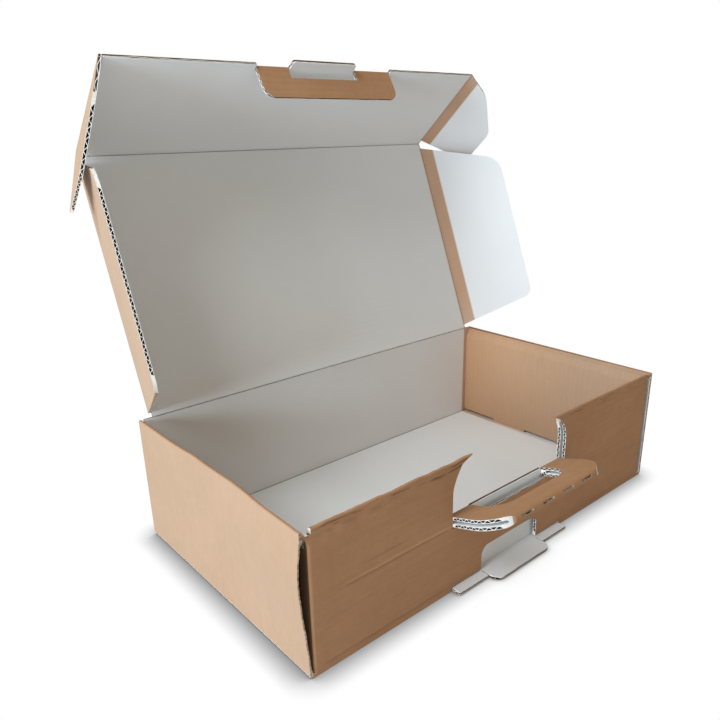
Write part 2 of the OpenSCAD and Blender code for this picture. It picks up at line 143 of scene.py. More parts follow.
class StudioSettings(bpy.types.PropertyGroup):
    """Floor, lamps and camera"""

    key_power: bpy.props.FloatProperty(
        name="Key lamp", description="Power of the soft lamp low on the left", default=28.4,
        min=0, subtype="POWER")
    high_power: bpy.props.FloatProperty(
        name="High lamp", description="Power of the soft lamp above on the left", default=19.5,
        min=0, subtype="POWER")
    sky: bpy.props.FloatProperty(
        name="Sky", description="Strength of the even light from all round", default=0.345,
        min=0, max=2)
    sky_colour: bpy.props.FloatVectorProperty(
        name="Sky colour", description="Colour of the even light from all round",
        default=(1.0, 0.90, 0.74), subtype="COLOR", min=0, max=1)
    shadow_reach: bpy.props.FloatProperty(
        name="Shadow reach", description="How far from the box the floor is shaded", default=0.023,
        min=0.01, max=0.5, unit="LENGTH")
    shadow_depth: bpy.props.FloatProperty(
        name="Shadow depth", description="How dark the floor gets beside the box", default=1.5,
        min=0.1, max=5)
    camera_place: bpy.props.FloatVectorProperty(
        name="Camera", description="Place of the camera", default=(-0.44879, -0.45783, 0.37335),
        subtype="TRANSLATION", unit="LENGTH")
    camera_turn: bpy.props.FloatVectorProperty(
        name="Camera turn", description="Direction of the camera",
        default=(math.radians(69.9835), math.radians(0.8847), math.radians(-41.4020)),
        subtype="EULER")
    camera_lens: bpy.props.FloatProperty(
        name="Lens", description="Focal length on a 36 mm sensor", default=34.2571, min=10, max=200,
        unit="CAMERA")
    camera_shift: bpy.props.FloatVectorProperty(
        name="Shift", description="How far the picture is shifted across and up, in picture widths",
        default=(-0.02333, 0.02499), size=2)


# Mesh helpers

def clear_selection():
    """Leaves object mode's selection empty"""
    if bpy.context.object is not None and bpy.context.object.mode != "OBJECT":
        bpy.ops.object.mode_set(mode="OBJECT")
    bpy.ops.object.select_all(action="DESELECT")


def pick(piece):
    """Makes a piece the only selected one"""
    clear_selection()
    piece.select_set(True)
    bpy.context.view_layer.objects.active = piece


def copy_of_node(node_name, piece_name):
    """A merged copy of a packed panel, which stands for it"""
    piece = bpy.data.objects.new(piece_name, NODES[node_name].data.copy())
    bpy.context.scene.collection.objects.link(piece)
    piece.data.name = piece_name
    piece.data.materials.clear()
    pick(piece)
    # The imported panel's own normals don't merge the same way on every run
    bpy.ops.mesh.customdata_custom_splitnormals_clear()
    bpy.ops.object.mode_set(mode="EDIT")
    bpy.ops.mesh.select_all(action="SELECT")
    bpy.ops.mesh.remove_doubles(threshold=1e-6)
    bpy.ops.object.mode_set(mode="OBJECT")
    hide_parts(node_name)
    return piece


def smooth(value, start, end):
    """Goes from 0 at the start to 1 at the end, without a corner"""
    t = min(max((value - start) / (end - start), 0.0), 1.0)
    return t * t * (3 - 2 * t)


def cut_across(piece, way, places, low, high):
    """Cuts the faces that reach into a region with a row of parallel planes"""
    pick(piece)
    bpy.context.tool_settings.mesh_select_mode = (False, False, True)
    for place in places:
        mesh = piece.data
        for face in mesh.polygons:
            spans = zip(*(mesh.vertices[index].co for index in face.vertices))
            face.select = all(
                min(span) < upper and max(span) > lower
                for span, lower, upper in zip(spans, low, high))
        bpy.ops.object.mode_set(mode="EDIT")
        bpy.ops.mesh.bisect(plane_co=Vector(way) * place, plane_no=way)
        bpy.ops.object.mode_set(mode="OBJECT")


def push(piece, direction, reach, weight_of):
    """Moves a piece's points one way, each by its own share of the reach"""
    group = piece.vertex_groups.new(name="worn")
    for vertex in piece.data.vertices:
        weight = weight_of(vertex.co)
        if weight > 0:
            group.add([vertex.index], min(weight, 1), "REPLACE")
    pick(piece)
    modifier = piece.modifiers.new("Wear", "DISPLACE")
    modifier.direction = direction
    modifier.mid_level = 0
    modifier.strength = reach
    modifier.vertex_group = group.name
    bpy.ops.object.modifier_apply(modifier=modifier.name)
    piece.vertex_groups.clear()


def steps(start, end, size):
    """Even places between two ends"""
    count = max(int(round((end - start) / size)), 1)
    return [start + (end - start) * (index + 0.5) / count for index in range(count)]


PAPERS = [
    "kraft_paper", "white_paper", "cut_edge", "flute_inside", "cut_plain", "shaded_kraft_paper",
    "crushed_edge"]
KRAFT, WHITE, CUT, FLUTE, PLAIN, SHADED_KRAFT, CRUSHED = range(7)


def add_papers(piece):
    """Gives a piece all papers, in the order of their slots"""
    for name in PAPERS:
        piece.data.materials.append(bpy.data.materials[name])


def panel_matrix(origin, across, along):
    """Frame of a flat panel: x across the box, y away from its crease, z to the white side"""
    x, y = across.normalized(), along.normalized()
    z = x.cross(y).normalized()
    turn = Matrix((x, y, z)).transposed().to_4x4()
    return Matrix.Translation(origin) @ turn


def panel_frame(node_name, crease, like, flip=False):
    """Frame of a panel found from its crease and from the side that most of its faces look to"""
    faces = NODES[node_name].data.polygons
    keys = [tuple(round(abs(part), 3) for part in face.normal) for face in faces]
    area = dict.fromkeys(keys, 0)
    for face, key in zip(faces, keys):
        area[key] += face.area
    best = faces[keys.index(max(area, key=area.get))].normal.copy()
    if (best.dot(like) < 0) != flip:
        best = -best
    axis = Vector(JOINTS[crease]["axis"]).normalized()
    if abs(axis.x) > 0.9:
        x = Vector((1, 0, 0))
        y = best.cross(x)
    else:
        y = axis if axis.z > 0 or (abs(axis.z) < 1e-6 and axis.y < 0) else -axis
        x = y.cross(best)
    x.normalize()
    y.normalize()
    turn = Matrix((x, y, best.normalized())).transposed().to_4x4()
    return Matrix.Translation(JOINTS[crease]["pos_m"]) @ turn


def lay_papers(piece, kind_of, grain_of):
    """Paper of each face from kind_of(centre, normal), and the two maps that the papers read

    The first map runs along and across the flutes, the second across them and through the board."""
    mesh = piece.data
    first = mesh.uv_layers[0] if mesh.uv_layers else mesh.uv_layers.new()
    first.name = "flutes"
    mesh.uv_layers.new(name="through")
    flutes, through = mesh.uv_layers["flutes"], mesh.uv_layers["through"]
    for face in mesh.polygons:
        face.material_index = kind_of(face.center, face.normal)
        for loop in face.loop_indices:
            point = mesh.vertices[mesh.loops[loop].vertex_index].co
            along, across, depth = grain_of(point, face.center, face.normal)
            flutes.data[loop].uv = (along, across)
            through.data[loop].uv = (across, depth)
    mesh.uv_layers.active = flutes


def open_flutes(piece, turn=Matrix.Identity(3)):
    """Marks the faces that line an open flute, which has paper close by on three sides or more, and
    gives them the near-black flute paper, which is painted shade
    """
    mesh = piece.data
    tree = BVHTree.FromPolygons([v.co for v in mesh.vertices], [f.vertices for f in mesh.polygons])
    ways = [turn @ Vector(way) for way in ((0, 1, 0), (0, -1, 0), (0, 0, 1), (0, 0, -1))]
    for face in mesh.polygons:
        if face.material_index in (CUT, PLAIN):
            start = face.center + face.normal * 1e-4
            if sum(tree.ray_cast(start, way, 0.0042)[0] is not None for way in ways) > 2:
                face.material_index = FLUTE


def shade_by_angle(piece, degrees=30):
    """Smooth faces that meet at a shallow angle, with the wide flat ones kept flat"""
    pick(piece)
    bpy.ops.object.shade_smooth_by_angle(angle=math.radians(degrees))
    modifier = piece.modifiers.new("Even shading", "WEIGHTED_NORMAL")
    modifier.keep_sharp = True
    modifier.weight = 90
    bpy.ops.object.modifier_apply(modifier=modifier.name)


# Papers

class Graph:
    """A node tree, with one method for each kind of step"""

    def __init__(self, tree):
        self.tree = tree

    def new(self, kind, **values):
        """A new node with some of its inputs set"""
        node = self.tree.nodes.new(kind)
        for name, value in values.items():
            node.inputs[name.replace("_", " ")].default_value = value
        return node

    def link(self, output, socket):
        """Joins an output to an input"""
        self.tree.links.new(output, socket)

    def uv_map(self, name):
        """One of the two maps that lay_papers makes"""
        node = self.new("ShaderNodeUVMap")
        node.uv_map = name
        return node.outputs["UV"]

    def split(self, vector):
        """The three parts of a vector"""
        node = self.new("ShaderNodeSeparateXYZ")
        self.link(vector, node.inputs[0])
        return node.outputs

    def noise(self, scale, detail, roughness, vector):
        """Noise over the given coordinates"""
        node = self.new("ShaderNodeTexNoise", Scale=scale, Detail=detail, Roughness=roughness)
        self.link(vector, node.inputs["Vector"])
        return node.outputs[0]

    def stretched_noise(self, detail, roughness, vector, scale):
        """Noise over coordinates that are scaled on each axis, for fibres and streaks"""
        mapping = self.new("ShaderNodeMapping", Scale=scale)
        self.link(vector, mapping.inputs["Vector"])
        return self.noise(1, detail, roughness, mapping.outputs["Vector"])

    def math(self, operation, *values, clamp=False):
        """One step of arithmetic, on sockets or on plain numbers"""
        node = self.new("ShaderNodeMath")
        node.operation = operation
        node.use_clamp = clamp
        for socket, value in zip(node.inputs, values):
            if isinstance(value, (int, float)):
                socket.default_value = value
            else:
                self.link(value, socket)
        return node.outputs[0]

    def fitted(self, value, factor, offset, clamp=False):
        """A value times a factor, plus an offset"""
        return self.math("MULTIPLY_ADD", value, factor, offset, clamp=clamp)

    def all_of(self, *masks):
        """The product of some masks"""
        product = masks[0]
        for mask in masks[1:]:
            product = self.math("MULTIPLY", product, mask)
        return product

    def mix(self, factor, first, second, blend="MIX"):
        """A mix of two colours"""
        node = self.new("ShaderNodeMix")
        node.data_type = "RGBA"
        node.blend_type = blend
        for index, value in ((0, factor), (6, first), (7, second)):
            if hasattr(value, "is_linked"):
                self.link(value, node.inputs[index])
            elif isinstance(value, (int, float)):
                node.inputs[index].default_value = value
            else:
                node.inputs[index].default_value = (*value, 1)
        return node.outputs[2]

    def ramp(self, value, starts, ends, smoothed=False):
        """Maps a value between two inputs onto two outputs"""
        node = self.new(
            "ShaderNodeMapRange", From_Min=starts[0], From_Max=starts[1], To_Min=ends[0],
            To_Max=ends[1])
        if smoothed:
            node.interpolation_type = "SMOOTHSTEP"
        self.link(value, node.inputs["Value"])
        return node.outputs["Result"]

    def band(self, value, middle, half, soft):
        """1 where a value lies close to the middle, with soft ends"""
        away = self.math("ABSOLUTE", self.math("SUBTRACT", value, middle))
        return self.ramp(away, (half, half + soft), (1, 0), smoothed=True)

    def bump(self, height, distance, strength=1, normal=None):
        """The surface's normal, tilted by a height"""
        node = self.new("ShaderNodeBump", Strength=strength, Distance=distance)
        self.link(height, node.inputs["Height"])
        if normal is not None:
            self.link(normal, node.inputs["Normal"])
        return node.outputs[0]

    def seen_directly(self):
        """1 for rays from the camera, and for those that a glossy or a clear surface sends on"""
        path = self.new("ShaderNodeLightPath").outputs
        seen = self.math("MAXIMUM", path["Is Camera Ray"], path["Is Glossy Ray"])
        return self.math("MAXIMUM", seen, path["Is Transmission Ray"])


class Paper(Graph):
    """A new paper material, with its shader and the coordinates that it reads"""

    def __init__(self, name, roughness):
        material = bpy.data.materials.new(name)
        material.use_nodes = True
        super().__init__(material.node_tree)
        self.shader = self.tree.nodes["Principled BSDF"]
        self.shader.inputs["Roughness"].default_value = roughness
        self.shader.inputs["Specular IOR Level"].default_value = 0.25
        self.flutes = self.uv_map("flutes")
        self.place = self.new("ShaderNodeTexCoord").outputs["Object"]

    def finish(self, colour, normal):
        """Hands the colour and the normal to the shader"""
        self.link(colour, self.shader.inputs["Base Color"])
        self.link(normal, self.shader.inputs["Normal"])


# Height, half width, softness, start, end and strength of each line on the front wall; a positive
# strength paints shade in a scored groove, a negative one paints a highlight
SCORES = (
    (0.0648, 0.00025, 0.0010, -0.205, -0.080, 0.75),
    (0.0664, 0.0011, 0.0012, -0.205, -0.080, -0.35),
    (0.0758, 0.0002, 0.0012, -0.182, -0.128, 0.35),
    (0.0075, 0.0002, 0.0010, -0.226, -0.080, 0.28),
    (0.0050, 0.0030, 0.0020, -0.226, 0.226, 0.12),
)
# How softly a score line fades out at its ends
SCORE_FADE = 0.018


def painted_crease_shade_on_front(paper):
    """Painted shade along the lines where the front wall is scored and crushed and where its fold
    has wrinkled, a painted highlight beside one score, and painted shade in the gaps behind the
    side walls
    """
    at = paper.split(paper.place)
    along, up = paper.split(paper.flutes)[:2]
    front = paper.math("LESS_THAN", at["Y"], FRONT_Y + 0.0022)
    wander = paper.stretched_noise(2, 0.5, paper.flutes, (28, 5, 1))
    height = paper.fitted(wander, 0.0024, up)
    rough = paper.stretched_noise(3, 0.6, paper.flutes, (60, 300, 1))
    worn = paper.fitted(rough, 1.6, -0.15, clamp=True)
    lines = None
    for middle, half, soft, start, end, depth in SCORES:
        line = paper.all_of(
            paper.band(height, middle, half, soft),
            paper.band(along, (start + end) / 2, (end - start) / 2 - SCORE_FADE, SCORE_FADE),
            front, paper.fitted(worn, depth * 0.7, depth * 0.3))
        lines = line if lines is None else paper.math("ADD", lines, line)
    # Painted shade in the wrinkles below the fold, broken up along it
    broken = paper.stretched_noise(2, 0.5, paper.flutes, (45, 430, 1))
    wrinkle = paper.all_of(
        paper.band(up, WALL_TOP - 0.0045, 0.0018, 0.003),
        paper.fitted(broken, 7.0, -3.75, clamp=True), front)
    lines = paper.fitted(wrinkle, 0.85, lines)
    # Painted shade in the narrow gap behind the loose front edge of each side wall
    gap = paper.all_of(
        paper.band(paper.math("ABSOLUTE", at["X"]), END_X - 0.0022, 0.0028, 0.0002),
        paper.math("GREATER_THAN", at["Y"], FRONT_Y + 0.0012))
    return paper.fitted(gap, 1.15, lines)


def painted_crease_shade_on_white(paper):
    """Painted shade: a dark line in the crease between the floor and the back wall"""
    at = paper.split(paper.place)
    corner = paper.all_of(
        paper.band(at["Y"], BACK_Y - BOARD, 0.0006, 0.0004),
        paper.band(at["Z"], BOARD, 0.0005, 0.0004))
    return paper.math("MULTIPLY", corner, 0.75)


def face_paper(name, light, dark, settings, roughness, fibre, washboard, speck, sheen, streaks,
               painted_shade=None):
    """Paper on a face of the board: cloudy tone, fibres, specks and flutes that show through"""
    paper = Paper(name, roughness)
    paper.shader.inputs["Sheen Weight"].default_value = sheen
    paper.shader.inputs["Sheen Roughness"].default_value = 0.5
    at = paper.split(paper.place)
    streak = paper.stretched_noise(4, 0.6, paper.flutes, (14, 190, 1))
    fine = paper.stretched_noise(5, 0.7, paper.flutes, (420, 900, 1))

    # The flutes' crowns lie close under the paper, more so in some patches
    across = paper.split(paper.flutes)["Y"]
    turns = paper.math("MULTIPLY", across, 2 * math.pi / settings.flute_pitch)
    wobble = paper.stretched_noise(2, 0.5, paper.flutes, (6, 60, 1))
    crown = paper.math("SINE", paper.fitted(wobble, 1.2, turns))
    strength = paper.fitted(paper.noise(5, 2, 0.5, paper.place), 1.3, -0.15, clamp=True)
    # The right wall's inner layer is pressed hard against the flutes, and turns to the shaded kraft
    # towards its back, which is painted shade
    pressed = paper.band(at["X"], TRAY_X - SIDE_THICK + 0.002, 0.006, 0.002)
    strength = paper.fitted(pressed, 1.1, strength)
    ridges = paper.math("MULTIPLY", crown, strength)
    back_shade = paper.math("MULTIPLY", paper.ramp(at["Y"], (-0.05, 0.14), (0, 0.9)), pressed)

    # Tone between the dark and the light colour
    tone = paper.fitted(paper.noise(9, 3, 0.55, paper.place), 0.9, -0.2 - fibre * 0.6)
    tone = paper.fitted(paper.noise(85, 4, 0.65, paper.place), fibre * 1.2, tone)
    tone = paper.fitted(streak, 0.55 * streaks, tone)
    tone = paper.math("ADD", tone, 0.275 * (1 - streaks))
    tone = paper.fitted(ridges, 0.16 * washboard, tone)
    tone = paper.fitted(fine, fibre, tone)
    tone = paper.math("SUBTRACT", tone, fibre / 2, clamp=True)
    colour = paper.mix(tone, dark, light)
    colour = paper.mix(back_shade, colour, settings.shaded_kraft_light)
    specks = paper.new("ShaderNodeTexVoronoi", Scale=160)
    paper.link(paper.place, specks.inputs["Vector"])
    dot = paper.math("LESS_THAN", specks.outputs["Distance"], 0.09)
    colour = paper.mix(paper.math("MULTIPLY", dot, speck), colour, [c * 0.55 for c in dark])

    height = paper.fitted(fine, 0.5, ridges)
    height = paper.fitted(streak, 1.5 * streaks, height)
    if painted_shade is not None:
        lines = painted_shade(paper)
        # The lines are painted shade that darkens the colour, and a painted highlight where their
        # strength is negative; they also sink the bump
        colour = paper.mix(1.0, colour, paper.fitted(lines, -0.62, 1.0), "MULTIPLY")
        height = paper.fitted(lines, -2.5, height)
    surface = paper.bump(height, 0.00022 * washboard * 2)
    buckle = paper.stretched_noise(2, 0.45, paper.place, (7, 7, 7))
    paper.finish(colour, paper.bump(buckle, 0.004, 0.7, surface))


# Raw edge seen end on: the medium's wave, half its thickness, and where the face papers start
WAVE_REACH = 0.00095
MEDIUM_HALF = 0.00034
LINER_START = 0.00098


def edge_paper(settings):
    """Raw edge: two papers with the wave of the medium between them, and flutes painted dark as
    shade
    """
    paper = Paper("cut_edge", 0.9)
    at = paper.split(paper.uv_map("through"))
    fuzz = paper.noise(700, 2, 0.6, paper.place)
    across = paper.fitted(paper.noise(60, 2, 0.5, paper.place), 0.0035, at["X"])
    depth = paper.math("SUBTRACT", paper.fitted(fuzz, 0.0006, at["Y"]), 0.0003)
    wave = paper.math("SINE", paper.math("MULTIPLY", across, 2 * math.pi / settings.flute_pitch))
    away = paper.math("SUBTRACT", depth, paper.math("MULTIPLY", wave, WAVE_REACH))
    medium = paper.math("LESS_THAN", paper.math("ABSOLUTE", away), MEDIUM_HALF)
    liner = paper.math("GREATER_THAN", paper.math("ABSOLUTE", depth), LINER_START)
    solid = paper.math("MAXIMUM", medium, liner)
    white_side = paper.math("GREATER_THAN", depth, 0.0)
    liners = paper.mix(white_side, settings.kraft_light, settings.white_light)
    fibres = paper.mix(liner, settings.cut_light, liners)
    colour = paper.mix(solid, settings.flute_shade, fibres)
    paper.finish(colour, paper.bump(paper.fitted(fuzz, 0.4, solid), 0.0006))


def fibre_paper(name, light, dark, roughness, grain=600, contrast=1.0):
    """Bare fibres: a raw edge whose flutes are open, the near-black paper inside them, which is
    painted shade, or a crushed edge
    """
    paper = Paper(name, roughness)
    fuzz = paper.noise(grain, 3, 0.6, paper.place)
    tone = paper.fitted(fuzz, contrast, 0.5 - contrast / 2, clamp=True)
    paper.finish(paper.mix(tone, dark, light), paper.bump(fuzz, 0.0003))


class MAILER_OT_papers(bpy.types.Operator):
    """Make the papers of the board"""

    bl_idname = "mailer.papers"
    bl_label = "Papers"

    def execute(self, context):
        s = context.scene.mailer_board
        face_paper(
            "kraft_paper", s.kraft_light, s.kraft_dark, s, roughness=0.78, fibre=0.5,
            washboard=s.washboard * 0.6, speck=0.3, sheen=0.15, streaks=0.6)
        face_paper(
            "white_paper", s.white_light, s.white_dark, s, roughness=0.62, fibre=0.2,
            washboard=s.washboard * 0.22, speck=0.08, sheen=0.0, streaks=0.3, painted_shade=painted_crease_shade_on_white)
        edge_paper(s)
        fibre_paper("flute_inside", s.flute_shade, [c * 0.5 for c in s.flute_shade], 1.0)
        fibre_paper("cut_plain", s.cut_light, [c * 0.84 for c in s.cut_light], 0.9)
        fibre_paper("crushed_edge", s.crushed_light, s.crushed_dark, 0.9, grain=330, contrast=3.0)
        # The shaded kraft paper is painted shade: the kraft paper again, darker and browner, for
        # the front wall, the handle and the lock flap
        face_paper(
            "shaded_kraft_paper", s.shaded_kraft_light, s.shaded_kraft_dark, s, roughness=0.80, fibre=0.6,
            washboard=s.washboard, speck=0.3, sheen=0.0, streaks=1.0, painted_shade=painted_crease_shade_on_front)
        return {"FINISHED"}


# Tray and handle

def tray_grain(point, centre, normal):
    """Along the flutes, across them, and through the board, for a point of the tray"""
    x, y, z = abs(point.x), point.y, point.z
    cx, cy, cz = abs(centre.x), centre.y, centre.z
    if cx > TRAY_X - SIDE_THICK - 1e-5:
        if cx > TRAY_X - BOARD - 1e-5:
            return z, y, TRAY_X - HALF - x
        if cx > TRAY_X - BOARD - SIDE_ROOM + 1e-5 and cz < WALL_TOP - LEAN:
            return z, y, HALF - abs(x - (END_X - BOARD))
        return z, y, x - (TRAY_X - BOARD - SIDE_ROOM - HALF)
    if cz < BOARD + 1e-5:
        return point.x, y, z - HALF
    if cy > BACK_Y - BOARD - 1e-5:
        return point.x, z, BACK_Y - HALF - y
    if cy < FRONT_Y + BOARD + 1e-5:
        return point.x, z, y - FRONT_Y - HALF
    return point.x, z, FRONT_Y + BOARD + FRONT_ROOM + HALF - y


def wall_paper(inwards, outward, height, up, thick):
    """Paper on a folded wall's layers, from how far inwards a face lies and which way it looks"""
    leaning = height > WALL_TOP - LEAN - BOARD and outward < -0.1 and up > 0.2
    if leaning or height > WALL_TOP - CREST:
        return KRAFT
    if outward > 0.1 and up < -0.2:
        return WHITE
    if abs(outward) > 0.9:
        if abs(inwards) < NEAR or abs(inwards - thick) < NEAR:
            return KRAFT
        if abs(inwards - BOARD) < NEAR or abs(inwards - thick + BOARD) < NEAR:
            return WHITE
    return None


def tray_paper(centre, normal):
    """Paper of a face of the tray"""
    x, y, z = abs(centre.x), centre.y, centre.z
    outward = normal.x * (1 if centre.x > 0 else -1)
    paper = None
    if x > TRAY_X - SIDE_THICK - NEAR and abs(normal.y) < 0.3:
        # The corner flap's kraft face in the gap behind the side wall takes the shaded kraft:
        # painted shade
        if abs(x - END_X) < NEAR and abs(outward) > 0.9:
            return SHADED_KRAFT
        if abs(x - (END_X - BOARD)) < NEAR and abs(outward) > 0.9:
            return WHITE
        paper = wall_paper(TRAY_X - x, outward, z, normal.z, SIDE_THICK)
        # The crest's top and inner side take the shaded kraft: painted shade
        paper = SHADED_KRAFT if paper == KRAFT and z > WALL_TOP - CREST and outward < 0.5 else paper
    elif y < FRONT_Y + FRONT_THICK + NEAR and abs(normal.x) < 0.3 and x < END_X + NEAR:
        paper = wall_paper(y - FRONT_Y, -normal.y, z, normal.z, FRONT_THICK)
        # The front wall's kraft takes the shaded kraft: painted shade
        paper = SHADED_KRAFT if paper == KRAFT else paper
    if paper is not None:
        return paper
    rounded = abs(normal.x) > 0.05 and abs(normal.y) > 0.05 and abs(normal.z) < 0.3
    # The rounded outer corners take the shaded kraft: painted shade
    if rounded and outward > 0 and x > END_X - BOARD - NEAR and abs(y) > BACK_Y - BOARD - NEAR:
        return SHADED_KRAFT
    if abs(normal.z) > 0.9 and z < 1e-4:
        return KRAFT
    if abs(normal.z) > 0.9 and abs(z - BOARD) < NEAR:
        return WHITE
    # Rounded lower edges of the walls
    if z < BOARD and normal.z < -0.05 and (x > TRAY_X - BOARD or abs(y) > BACK_Y - BOARD):
        return KRAFT
    if abs(normal.y) > 0.9 and x < END_X + NEAR:
        # The front wall's outer face takes the shaded kraft: painted shade
        if abs(y - FRONT_Y) < NEAR:
            return SHADED_KRAFT
        if abs(y - BACK_Y) < NEAR:
            return KRAFT
        if abs(y - (BACK_Y - BOARD)) < NEAR:
            return WHITE
    if y < FRONT_Y + FRONT_THICK + NEAR and abs(normal.x) > 0.3 and z > BOARD:
        return PLAIN
    return CRUSHED if x > END_X and abs(normal.y) > 0.9 else CUT


def ripple(point, spacing, seed):
    """Smooth chance between 0 and 1 that repeats every time the script runs"""
    return 0.5 + 0.5 * noise.noise(Vector((point / spacing, seed, 0.37)))


def wear_cuts(piece):
    """Cuts the front and left walls finely where handling has bent them"""
    top, front_in = WALL_TOP + 0.001, FRONT_Y + FRONT_THICK + 0.001
    low, high = (-TRAY_X, FRONT_Y - 0.001, WALL_TOP - 0.02), (HORN_X, front_in, top)
    drops = (0.0025, 0.004, 0.0055, 0.0075, 0.010, 0.014, 0.019, 0.026)
    heights = [WALL_TOP - drop for drop in drops]
    cut_across(piece, (0, 0, 1), heights, (-TRAY_X, FRONT_Y - 0.001, 0.09), (HORN_X, front_in, top))
    cut_across(piece, (1, 0, 0), steps(LEFT_END + 0.003, HORN_X, 0.004), low, high)
    left = (-TRAY_X - 0.001, FRONT_Y - 0.001, 0.0), (-TRAY_X + BOARD + 0.0001, -0.02, top)
    cut_across(piece, (0, 0, 1), steps(0.006, 0.108, 0.0075) + heights, *left)
    cut_across(piece, (0, 1, 0), steps(FRONT_Y + 0.004, BEND_Y, 0.006), *left)
    rest = (-TRAY_X - 0.001, -0.03, 0.0), (-TRAY_X + BOARD + 0.0001, BACK_Y, top)
    cut_across(piece, (0, 0, 1), steps(0.004, 0.112, 0.018), *rest)
    cut_across(piece, (0, 1, 0), steps(BEND_Y, BACK_Y - 0.004, 0.02), *rest)
    crest = (-TRAY_X - 0.001, -0.03, WALL_TOP - 0.02), (-TRAY_X + 0.012, BACK_Y + 0.001, top)
    cut_across(piece, (0, 0, 1), heights[1::3], *crest)
    cut_across(piece, (0, 1, 0), steps(BEND_Y, BACK_Y - 0.01, 0.008), *crest)


def wear(piece):
    """Bends the front and left walls as years of folding and carrying would"""
    def on_front(p):
        return p.y < FRONT_Y + FRONT_THICK + 1e-4 and LEFT_END - 1e-4 < p.x < HORN_X + 0.02

    def on_left(p):
        return p.x < -TRAY_X + 0.0105

    def left_outer(p):
        return p.x < -TRAY_X + BOARD + 1e-4

    def rise(p):
        share = smooth(p.z, WALL_TOP - 0.026, WALL_TOP - 0.004)
        if on_front(p) and not left_outer(p):
            end = smooth(HORN_X + 0.004 - p.x, -0.004, 0.02)
            wave = 0.20 + 0.55 * ripple(p.x, 0.014, 1.5) + 0.35 * ripple(p.x, 0.0055, 7.1)
            return share * wave * (0.7 + 0.3 * end)
        if on_left(p):
            back = smooth(0.068 - p.y, 0, 0.05)
            return share * back * (0.40 + 0.40 * ripple(p.y, 0.03, 3.3))
        return 0

    def bow(p):
        if not left_outer(p) or p.z < 0.004:
            return 0
        along = smooth(BEND_Y - p.y, 0, BEND_LENGTH)
        up = smooth(p.z, 0, 0.09) if p.z < 0.09 else 1 - 0.55 * smooth(p.z, 0.09, WALL_TOP)
        rough = 0.10 * noise.noise(Vector((p.z * 90, p.y * 160, 4.2)))
        rough *= smooth(-0.112 - p.y, 0, 0.015)
        return max(along * (up + rough * smooth(p.z, 0, 0.03)), 0) * 0.95

    def lean(p):
        if not on_left(p) or left_outer(p):
            return 0
        return smooth(p.z, WALL_TOP - LEAN, WALL_TOP) * smooth(BEND_Y - p.y, 0, BEND_LENGTH) * 0.43

    def dent(p):
        if not on_front(p) or p.y > FRONT_Y + 0.0015 or left_outer(p):
            return 0
        drop = WALL_TOP - p.z
        strip = smooth(drop, CREST, 0.004) * (1 - smooth(drop, 0.0065, 0.014))
        low = noise.noise(Vector((p.x * 95, p.z * 260, 2.2)))
        return strip * max(0.35 + 1.1 * low, 0)

    def swell(p):
        if not on_front(p) or left_outer(p):
            return 0
        strip = smooth(p.z, WALL_TOP - 0.026, WALL_TOP - 0.012)
        return strip * ripple(p.x, 0.028, 9.4) * smooth(p.x - LEFT_END, 0.002, 0.02)

    def crush(p):
        # The bow has moved the sheet, so its inner face is found by how far it has gone
        inner = -TRAY_X + BOARD - WALL_BOW * bow(Vector((-TRAY_X, p.y, p.z)))
        if abs(p.x - inner) > 5e-4 or p.y > -0.112 or p.z > WALL_TOP - 0.006:
            return 0
        return smooth(-0.112 - p.y, 0, 0.014) * smooth(p.z, 0.002, 0.012)

    def draw_in(p):
        if p.x < TRAY_X - 0.012 or p.x > TRAY_X - BOARD - 1e-4 or p.y > -0.10:
            return 0
        if p.y > FRONT_Y + FRONT_THICK + 1e-4 and p.x < TRAY_X - 0.0064:
            return 0
        return smooth(p.x, TRAY_X - 0.012, TRAY_X - 0.004) * smooth(-0.10 - p.y, 0, 0.025)

    push(piece, "Z", CREST_RISE, rise)
    push(piece, "X", -WALL_BOW, lambda p: max(bow(p), lean(p)))
    push(piece, "X", -EDGE_CRUSH, crush)
    push(piece, "X", -CORNER_PULL, draw_in)
    push(piece, "Y", CREST_DENT, dent)
    push(piece, "Y", -CREST_SWELL, swell)


class MAILER_OT_tray(bpy.types.Operator):
    """Dress the tray: kraft outside, white inside, raw edges"""

    bl_idname = "mailer.tray"
    bl_label = "Tray"

    def execute(self, context):
        piece = copy_of_node("tray", "tray_board")
        wear_cuts(piece)
        add_papers(piece)
        lay_papers(piece, tray_paper, tray_grain)
        open_flutes(piece)
        wear(piece)
        shade_by_angle(piece)
        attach(piece, "tray")
        return {"FINISHED"}


